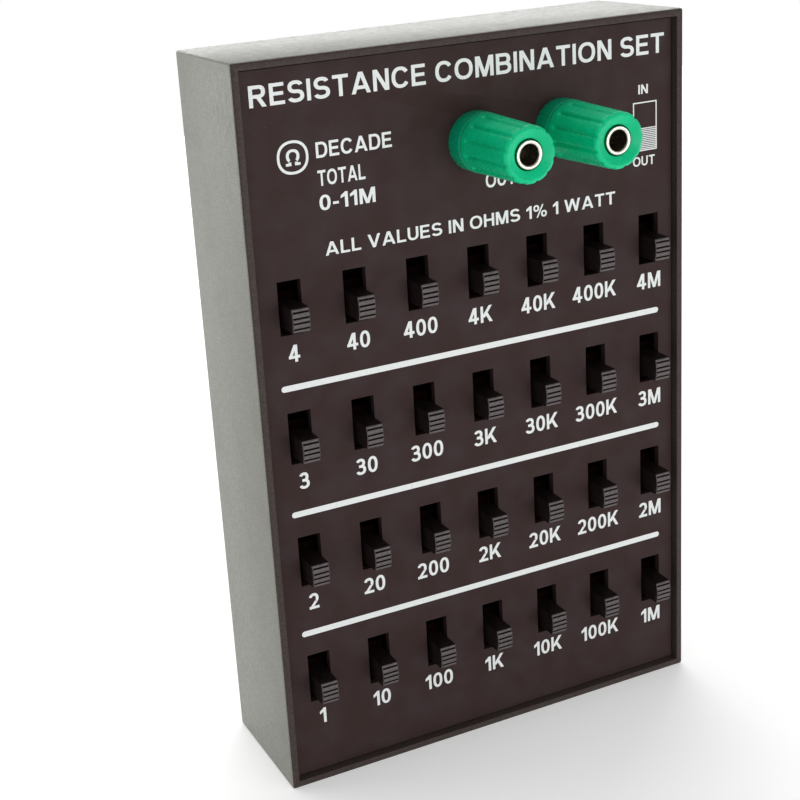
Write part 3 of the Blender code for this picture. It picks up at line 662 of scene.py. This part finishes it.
def knob_levels():
    """Heights across the knob's face, from the bottom, each with its depth below the face."""
    groove = (KNOB_HEIGHT - sum(RIDGE_WIDTHS)) / (len(RIDGE_WIDTHS) - 1)
    soft = 0.12 * MM
    levels = []
    base = -KNOB_HEIGHT / 2
    for index, width in enumerate(RIDGE_WIDTHS):
        first, last = index == 0, index == len(RIDGE_WIDTHS) - 1
        if not first:
            levels += [(base, 0.6 * soft), (base + 0.4 * soft, 0.2 * soft), (base + soft, 0.0)]
        else:
            levels += [(base, EDGE_RADIUS), (base + 0.3 * EDGE_RADIUS, 0.3 * EDGE_RADIUS),
                       (base + EDGE_RADIUS, 0.0)]
        top = base + width
        levels.append(((base + top) / 2, -0.02 * MM))
        if not last:
            levels += [(top - soft, 0.0), (top - 0.4 * soft, 0.2 * soft), (top, 0.6 * soft)]
            levels += [(top + 0.2 * groove, 0.8 * GROOVE_DEPTH), (top + 0.5 * groove, GROOVE_DEPTH),
                       (top + 0.8 * groove, 0.8 * GROOVE_DEPTH)]
        else:
            levels += [(top - EDGE_RADIUS, 0.0), (top - 0.3 * EDGE_RADIUS, 0.3 * EDGE_RADIUS),
                       (top, EDGE_RADIUS)]
        base = top + groove
    return levels


def knob_columns():
    """Places across the knob's face, each with its edge rounding and whether grooves reach it."""
    half = KNOB_WIDTH / 2
    one_side = [
        (half, EDGE_RADIUS, 0.0), (half - 0.3 * EDGE_RADIUS, 0.3 * EDGE_RADIUS, 0.0),
        (half - EDGE_RADIUS, 0.0, 0.0), (half - GROOVE_RIM, 0.0, 0.0),
        (half - GROOVE_RIM - 0.1 * MM, 0.0, 0.8), (half - GROOVE_RIM - 0.25 * MM, 0.0, 1.0),
    ]
    left = [(-x, drop, share) for x, drop, share in one_side]
    return left + [(0.0, 0.0, 1.0)] + one_side[::-1]


def knob_mesh():
    """A crowned, ribbed knob on a wide carriage, drawn around its centre; its ridge tops carry a
    painted highlight, a lighter colour than the rest of the knob.
    """
    bm = bmesh.new()
    low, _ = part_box(slider_name("4", "1"))
    face_y = low.y
    rows = []
    for z, depth in knob_levels():
        crown = KNOB_CROWN * (2.0 * z / KNOB_HEIGHT) ** 2
        row = []
        for x, drop, share in knob_columns():
            groove = depth if depth <= EDGE_RADIUS else depth * share
            row.append(bm.verts.new((x, face_y + crown + drop + groove, z)))
        rows.append(row)
    for lower, upper in zip(rows, rows[1:]):
        for step in range(len(lower) - 1):
            bm.faces.new((lower[step], lower[step + 1], upper[step + 1], upper[step]))

    half_wide, half_tall = KNOB_WIDTH / 2, KNOB_HEIGHT / 2
    sides = (
        (rows[0], (-half_wide, -half_tall), (half_wide, -half_tall)),
        ([row[-1] for row in rows], (half_wide, -half_tall), (half_wide, half_tall)),
        (rows[-1][::-1], (half_wide, half_tall), (-half_wide, half_tall)),
        ([row[0] for row in rows][::-1], (-half_wide, half_tall), (-half_wide, -half_tall)),
    )
    neck = [bm.verts.new((*corner, 0.0)) for _, corner, _ in sides]
    for vert, (_, (x, z), _) in zip(neck, sides):
        vert.co = (x, NECK_Y, z)
    for index, (edge, _, _) in enumerate(sides):
        bm.faces.new([*edge, neck[(index + 1) % 4], neck[index]])

    wide, tall = CARRIAGE_WIDTH / 2, CARRIAGE_HEIGHT / 2
    corners = ((-wide, -tall), (wide, -tall), (wide, tall), (-wide, tall))
    shoulder = [bm.verts.new((x, NECK_Y, z)) for x, z in corners]
    rear = [bm.verts.new((x, NECK_Y + CARRIAGE_DEPTH, z)) for x, z in corners]
    for step in range(4):
        following = (step + 1) % 4
        bm.faces.new((neck[step], neck[following], shoulder[following], shoulder[step]))
        bm.faces.new((shoulder[step], shoulder[following], rear[following], rear[step]))
    bm.faces.new(rear)
    bmesh.ops.recalc_face_normals(bm, faces=bm.faces)
    for face in bm.faces:
        middle = face.calc_center_median()
        crown = KNOB_CROWN * (2.0 * middle.z / KNOB_HEIGHT) ** 2
        on_carriage = middle.y > NECK_Y - 0.01 * MM
        # Faces close to the ridge tops take the painted highlight.
        if middle.y - face_y - crown < RIDGE_SKIN:
            face.material_index = 1
        # The carriage takes the housings' extra-dark black, painted shade inside the slot.
        elif on_carriage:
            face.material_index = 2
    mesh = bpy.data.meshes.new("knob")
    bm.to_mesh(mesh)
    bm.free()
    mesh.shade_smooth()
    mesh.set_sharp_from_angle(angle=math.radians(40.0))
    for name in ("knob_plastic", "knob_ridge_highlight", "switch_housing_slot_shade"):
        mesh.materials.append(MATERIALS[name])
    return mesh


def make_knobs():
    mesh = knob_mesh()
    for multiplier in MULTIPLIERS:
        for decade in DECADES:
            node = slider_name(multiplier, decade)
            centre = slider_centre(multiplier, decade)
            knob = bpy.data.objects.new(f"{node}_knob", mesh)
            knob.location = (centre.x, 0.0, centre.z)
            bpy.context.scene.collection.objects.link(knob)
            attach(knob, node)
            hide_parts(node)


# ------------------------------------------------------------ binding posts

FLUTES = 12
FLUTE_DEPTH = 0.46 * MM
FLUTE_SHARE = 0.22
FLUTE_RUNOUT = 0.5 * MM
CAP_BAND = 1.7 * MM
CAP_RECESS = 7.9 * MM
CAP_LIP = 4.5 * MM
CAP_BORE = 2.95 * MM
CAP_TAPER = 0.35 * MM
COLLAR_LEAD = 0.18 * MM
SOCKET_RADIUS = 1.95 * MM
SOCKET_END = 4.5 * MM
POST_GAP = 0.3 * MM
THREAD_PITCH = 1.0 * MM
THREAD_DEPTH = 0.16 * MM


def make_collar(side, centre):
    node = f"{side}_post_collar"
    low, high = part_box(node)
    stem_low, stem_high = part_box(f"{side}_post_stem")
    radius = (high.x - low.x) / 2
    bore = (stem_high.x - stem_low.x) / 2 + POST_GAP
    spigot = radius - 1.6 * MM
    front, seat = low.y - COLLAR_LEAD, PANEL_Y - 0.02 * MM
    corners = (
        (radius, front, 0.25 * MM), (radius, seat, 0.15 * MM), (spigot, seat, 0.0),
        (spigot, high.y, 0.2 * MM), (bore, high.y, 0.0), (bore, front, 0.0),
    )
    bm = turned(rounded_outline(corners), centre, 96)
    # The collar takes the darker green, painted shade.
    new_piece(f"{side}_post_base", bm, "collar_green", "root", (node,))


def cap_profile(low, high):
    """Outline of a post cap as (radius, y): a lip, a smooth band, a taper and a dished end."""
    rear_radius = (high.x - low.x) / 2
    front_radius = rear_radius - CAP_TAPER
    corners = (
        (CAP_LIP, high.y, 0.0), (rear_radius, high.y, 0.30 * MM),
        (rear_radius, high.y - CAP_BAND, 0.0), (front_radius, low.y, 0.85 * MM),
        (CAP_LIP, low.y, 0.30 * MM), (CAP_BORE, low.y + 0.8 * MM, 0.10 * MM),
        (CAP_BORE, high.y - CAP_RECESS, 0.0), (CAP_LIP, high.y - CAP_RECESS, 0.0),
    )
    outline = rounded_outline(corners, 8)
    taper_start = next(i for i, p in enumerate(outline) if p.y < high.y - 0.95 * CAP_BAND)
    start, end = outline[taper_start], outline[taper_start + 1]
    steps = 40
    between = [start.lerp(end, step / steps) for step in range(1, steps)]
    return outline[:taper_start + 1] + between + outline[taper_start + 1:]


def make_cap(side, centre):
    """Shallow flutes start at a round end in front of the band and fade over the front edge."""
    node = f"{side}_post_cap"
    low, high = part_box(node)
    groove_start = high.y - CAP_BAND
    face_radius = CAP_LIP + 0.1 * MM

    def flute(radius, y, angle):
        turn = (angle * FLUTES / (2.0 * math.pi)) % 1.0 - 0.5
        if abs(turn) > FLUTE_SHARE or radius < face_radius or y > groove_start:
            return 0.0
        along = min(1.0, (groove_start - y) / FLUTE_RUNOUT)
        fade = min(1.0, (radius - face_radius) / (0.9 * MM))
        fade *= 0.7 + 0.3 * (y - low.y) / (groove_start - low.y)
        across = 0.5 + 0.5 * math.cos(math.pi * turn / FLUTE_SHARE)
        return FLUTE_DEPTH * across * along ** 0.5 * fade

    bm = turned(cap_profile(low, high), centre, FLUTES * 16, flute)
    new_piece(f"{side}_post_screw_cap", bm, "post_green", node, (node,), 40.0)


def make_stem(side, centre):
    """The nickel-plated tube: a plug socket at the front and a fine thread along its side."""
    node = f"{side}_post_stem"
    low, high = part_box(node)
    radius = (high.x - low.x) / 2
    socket_bottom = PANEL_Y - SOCKET_END
    thread_front = low.y + 1.2 * MM

    def thread(at_radius, y, angle):
        if at_radius < radius - 0.01 * MM or y < thread_front:
            return 0.0
        turn = (y / THREAD_PITCH + angle / (2.0 * math.pi)) % 1.0
        return THREAD_DEPTH * abs(2.0 * turn - 1.0)

    steps = round((high.y - thread_front) / (THREAD_PITCH / 6))
    side_points = [
        Vector((radius, thread_front + (high.y - thread_front) * step / steps))
        for step in range(steps + 1)
    ]
    mouth = rounded_outline((
        (0.0, socket_bottom, 0.0), (SOCKET_RADIUS, socket_bottom, 0.0),
        (SOCKET_RADIUS, low.y, 0.34 * MM), (radius, low.y, 0.20 * MM), (radius, thread_front, 0.0),
    ))
    outline = mouth[:-1] + side_points + [Vector((0.0, high.y))]
    bm = turned(outline, centre, 48, thread, closed=False)
    for face in bm.faces:
        middle = face.calc_center_median()
        off_axis = math.hypot(middle.x - centre.x, middle.z - centre.z)
        if off_axis < SOCKET_RADIUS and middle.y > low.y + 0.3 * MM:
            face.material_index = 1
    tube = new_piece(f"{side}_post_tube", bm, "nickel_plate", "root", (node,), 50.0)
    tube.data.materials.append(MATERIALS["socket_lining"])


def make_posts():
    for side in SIDES:
        low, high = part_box(f"{side}_post_stem")
        centre = (low + high) / 2
        make_collar(side, centre)
        make_cap(side, centre)
        make_stem(side, centre)


# ------------------------------------------------- circuit board and its parts

BOARD_THICKNESS = 1.6 * MM
SWITCH_HALF = (4.3 * MM, 8.0 * MM)
WINDOW_HALF = (2.2 * MM, 4.6 * MM)
CAVITY_HALF = (3.6 * MM, 6.7 * MM)
SWITCH_WALL = 0.8 * MM
CAVITY_DEPTH = 3.0 * MM
RESISTOR_RISE = 12.87 * MM
RESISTOR_LENGTH = 6.3 * MM
RESISTOR_RADIUS = 1.2 * MM
LEAD_REACH = 4.4 * MM
LEAD_RADIUS = 0.28 * MM
DIGIT_COLOURS = {"1": "brown", "2": "red", "3": "orange", "4": "yellow"}
POWER_COLOURS = ("silver", "gold", "black", "brown", "red", "orange", "yellow")
BAND_PLACES = (-0.36, -0.18, 0.0, 0.18, 0.36)
BAND_SHARE = 0.045


def nested_box(bm, rings, centre):
    """A closed shell through level rectangles of (half width, half height, y)."""
    loops = []
    for half_width, half_height, y in rings:
        corners = ((-1, -1), (1, -1), (1, 1), (-1, 1))
        loops.append([
            bm.verts.new((centre.x + sx * half_width, y, centre.z + sz * half_height))
            for sx, sz in corners
        ])
    for first, second in zip(loops, loops[1:]):
        for step in range(4):
            following = (step + 1) % 4
            bm.faces.new((first[step], first[following], second[following], second[step]))
    bm.faces.new(loops[0])
    bm.faces.new(loops[-1])


def make_switch_bodies(board_front, switch_front):
    """Black slide switch housings behind the slots, each with its window and cavity."""
    cavity_front = switch_front + SWITCH_WALL
    rings = (
        (*SWITCH_HALF, board_front), (*SWITCH_HALF, switch_front),
        (*WINDOW_HALF, switch_front), (*WINDOW_HALF, cavity_front),
        (*CAVITY_HALF, cavity_front), (*CAVITY_HALF, cavity_front + CAVITY_DEPTH),
    )
    bm = bmesh.new()
    nested_box(bm, rings, Vector((0.0, 0.0, 0.0)))
    bmesh.ops.recalc_face_normals(bm, faces=bm.faces)
    mesh = bpy.data.meshes.new("switch_body")
    bm.to_mesh(mesh)
    bm.free()
    mesh.materials.append(MATERIALS["switch_housing_slot_shade"])
    for multiplier in MULTIPLIERS:
        for decade in DECADES:
            centre = slider_centre(multiplier, decade)
            name = slider_name(multiplier, decade).replace("slider", "switch_body")
            body = bpy.data.objects.new(name, mesh)
            body.location = (centre.x, 0.0, centre.z + KNOB_REST_DROP)
            bpy.context.scene.collection.objects.link(body)
            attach(body, "root")


def make_resistor(multiplier, power, centre):
    """A banded resistor body: three digits, a power of ten and a one per cent band."""
    bands = (DIGIT_COLOURS[multiplier], "black", "black", POWER_COLOURS[power], "brown")
    names = ["body", *dict.fromkeys(bands)]
    half = RESISTOR_LENGTH / 2
    edges = sorted(place + side * BAND_SHARE for place in BAND_PLACES for side in (-1, 1))
    outline = [Vector((0.0, half))]
    for share in (0.5, 0.46, *reversed(edges), -0.46, -0.5):
        swell = 1.0 if abs(share) > 0.27 else 0.86
        tip = 0.55 if abs(share) == 0.5 else 1.0
        outline.append(Vector((RESISTOR_RADIUS * swell * tip, share * RESISTOR_LENGTH)))
    outline.append(Vector((0.0, -half)))
    bm = turned(outline, Vector((0.0, 0.0, 0.0)), 20, closed=False)
    for face in bm.faces:
        share = face.calc_center_median().y / RESISTOR_LENGTH
        for place, colour in zip(BAND_PLACES, bands):
            if abs(share - place) < BAND_SHARE:
                face.material_index = names.index(colour)
    turn = Matrix.Rotation(math.radians(90.0), 4, "Z")
    bmesh.ops.transform(bm, matrix=Matrix.Translation(centre) @ turn, verts=bm.verts)
    label = slider_name(multiplier, DECADES[power]).replace("slider", "resistor")
    piece = new_piece(label, bm, "board_laminate", "root")
    piece.data.materials.clear()
    for name in names:
        piece.data.materials.append(MATERIALS[f"resistor_{name}"])


def make_leads(centres, board_front):
    """Bare wires from the ends of every resistor, bent down to the board."""
    curve = bpy.data.curves.new("resistor_leads", "CURVE")
    curve.dimensions = "3D"
    curve.bevel_depth = LEAD_RADIUS
    curve.bevel_resolution = 2
    curve.use_fill_caps = True
    bend = 0.5 * MM
    for centre in centres:
        for side in (-1.0, 1.0):
            reach = side * LEAD_REACH
            points = (
                (side * RESISTOR_LENGTH * 0.45, 0.0), (reach - side * bend, 0.0),
                (reach - side * 0.15 * bend, 0.15 * bend), (reach, bend),
            )
            route = [(centre.x + dx, centre.y + dy, centre.z) for dx, dy in points]
            route.append((centre.x + reach, board_front + 0.3 * MM, centre.z))
            spline = curve.splines.new("POLY")
            spline.points.add(len(route) - 1)
            for point, place in zip(spline.points, route):
                point.co = (*place, 1.0)
    curve.materials.append(MATERIALS["nickel_plate"])
    leads = bpy.data.objects.new("resistor_leads", curve)
    bpy.context.scene.collection.objects.link(leads)
    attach(leads, "root")


def make_board():
    """The laminate plate with its notch for the posts and square cuts at the corners for the corner
    screws.
    """
    low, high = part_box("circuit_board")
    board_front = high.y - BOARD_THICKNESS
    notch_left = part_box("left_post_rear_insulator")[0].x - 2.0 * MM
    notch_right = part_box("right_post_rear_insulator")[1].x + 2.0 * MM
    notch_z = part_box("left_post_lug")[0].z - 2.2 * MM
    cut = 8.4 * MM
    corners = (
        (low.x + cut, low.z), (high.x - cut, low.z), (high.x - cut, low.z + cut),
        (high.x, low.z + cut), (high.x, high.z - cut), (high.x - cut, high.z - cut),
        (high.x - cut, high.z), (notch_right, high.z), (notch_right, notch_z),
        (notch_left, notch_z), (notch_left, high.z), (low.x + cut, high.z),
        (low.x + cut, high.z - cut), (low.x, high.z - cut), (low.x, low.z + cut),
        (low.x + cut, low.z + cut),
    )
    bm = bmesh.new()
    face = bm.faces.new([bm.verts.new((x, board_front, z)) for x, z in corners])
    raised = bmesh.ops.extrude_face_region(bm, geom=[face], use_keep_orig=True)
    moved = [item for item in raised["geom"] if isinstance(item, bmesh.types.BMVert)]
    bmesh.ops.translate(bm, verts=moved, vec=(0.0, BOARD_THICKNESS, 0.0))
    new_piece("board_plate", bm, "board_laminate", "root", ("circuit_board",))

    make_switch_bodies(board_front, low.y)
    centres = []
    for multiplier in MULTIPLIERS:
        for power, decade in enumerate(DECADES):
            centre = slider_centre(multiplier, decade)
            rise = KNOB_REST_DROP + RESISTOR_RISE
            place = Vector((centre.x, board_front - RESISTOR_RADIUS - POST_GAP, centre.z + rise))
            make_resistor(multiplier, power, place)
            centres.append(place)
    make_leads(centres, board_front)


# ----------------------------------------------------- carried-over CAD nodes

def dress_cad_nodes():
    """Materials for the nodes whose CAD shape stays."""
    slots = {
        "case_screw_": "screw_steel",
        "foot_": "foot_rubber",
    }
    for side in SIDES:
        slots[f"{side}_post_insert"] = "brass"
        slots[f"{side}_post_rear_insulator"] = "insulation"
        slots[f"{side}_post_lug"] = "brass"
        slots[f"{side}_post_nut"] = "nickel_plate"
        slots[f"{side}_output_wire"] = "insulation"
    for name, node in frame["nodes"].items():
        for start, slot in slots.items():
            if name.startswith(start):
                node.data.materials.clear()
                node.data.materials.append(MATERIALS[slot])


# ------------------------------------------------------- camera, floor, light

def add_camera():
    azimuth, elevation, roll = math.radians(23.62), math.radians(-17.54), math.radians(-4.03)
    forward = Vector((
        math.cos(elevation) * math.sin(azimuth),
        math.cos(elevation) * math.cos(azimuth),
        math.sin(elevation),
    ))
    level = forward.cross(Vector((0.0, 0.0, 1.0))).normalized()
    upright = level.cross(forward)
    right = level * math.cos(roll) + upright * math.sin(roll)
    up = upright * math.cos(roll) - level * math.sin(roll)
    turn = Matrix((right, up, -forward)).transposed().to_4x4()
    data = bpy.data.cameras.new("camera")
    data.sensor_width = 36.0
    data.lens = 67.5
    data.shift_x = 0.075
    data.shift_y = -0.08
    data.clip_start = 0.01
    camera = bpy.data.objects.new("camera", data)
    camera.matrix_world = Matrix.Translation((-0.1384, -0.2607, 0.1781)) @ turn
    bpy.context.scene.collection.objects.link(camera)
    bpy.context.scene.camera = camera


def add_floor():
    bm = bmesh.new()
    bmesh.ops.create_grid(bm, x_segments=1, y_segments=1, size=0.75)
    mesh = bpy.data.meshes.new("floor")
    bm.to_mesh(mesh)
    bm.free()
    floor = bpy.data.objects.new("floor", mesh)
    white = Surface("floor_white", (0.80, 0.80, 0.80), 0.9, Specular_IOR_Level=0.0)
    white.shader.inputs["Emission Color"].default_value = (1.0, 1.0, 1.0, 1.0)
    white.shader.inputs["Emission Strength"].default_value = 0.30
    mesh.materials.append(white.material)
    bpy.context.scene.collection.objects.link(floor)


def add_area_light(name, position, aim, size, power, colour=(1.0, 1.0, 1.0)):
    data = bpy.data.lights.new(name, "AREA")
    data.shape = "RECTANGLE"
    data.size, data.size_y = size
    data.energy = power
    data.color = colour
    light = bpy.data.objects.new(name, data)
    light.location = position
    direction = Vector(aim) - Vector(position)
    light.rotation_euler = direction.to_track_quat("-Z", "Y").to_euler()
    bpy.context.scene.collection.objects.link(light)


def add_light():
    """A white light tent: bright from the left, the top and behind, dimmer in front."""
    scene = bpy.context.scene
    scene.view_settings.view_transform = "Standard"
    world = bpy.data.worlds.new("studio")
    world.use_nodes = True
    background = world.node_tree.nodes["Background"]
    background.inputs["Color"].default_value = (1.0, 1.0, 1.0, 1.0)
    background.inputs["Strength"].default_value = 0.45
    scene.world = world
    white = world.node_tree.nodes.new("ShaderNodeBackground")
    white.inputs["Color"].default_value = (1.0, 1.0, 1.0, 1.0)
    path = world.node_tree.nodes.new("ShaderNodeLightPath")
    mix = world.node_tree.nodes.new("ShaderNodeMixShader")
    links = world.node_tree.links
    links.new(path.outputs["Is Camera Ray"], mix.inputs["Fac"])
    links.new(background.outputs["Background"], mix.inputs[1])
    links.new(white.outputs["Background"], mix.inputs[2])
    links.new(mix.outputs["Shader"], world.node_tree.nodes["World Output"].inputs["Surface"])
    middle = (0.0, 0.0, 0.07)
    add_area_light("left_softbox", (-0.80, 0.70, 0.20), middle, (0.9, 0.4), 6.2)
    add_area_light("top_softbox", (0.0, 0.25, 0.85), middle, (0.8, 0.8), 3.0)
    add_area_light("back_softbox", (0.45, 0.95, 0.45), middle, (1.2, 0.8), 10.0)
    add_area_light("front_softbox", (0.10, -0.55, 0.11), (0.0, 0.0, 0.02), (0.7, 0.18), 1.4)


# --------------------------------------------------------------------- build

add_camera()
make_case_and_panel()
print_headings()
print_values_and_rules()
print_slide_guide()
make_knobs()
make_posts()
make_board()
dress_cad_nodes()
add_floor()
add_light()
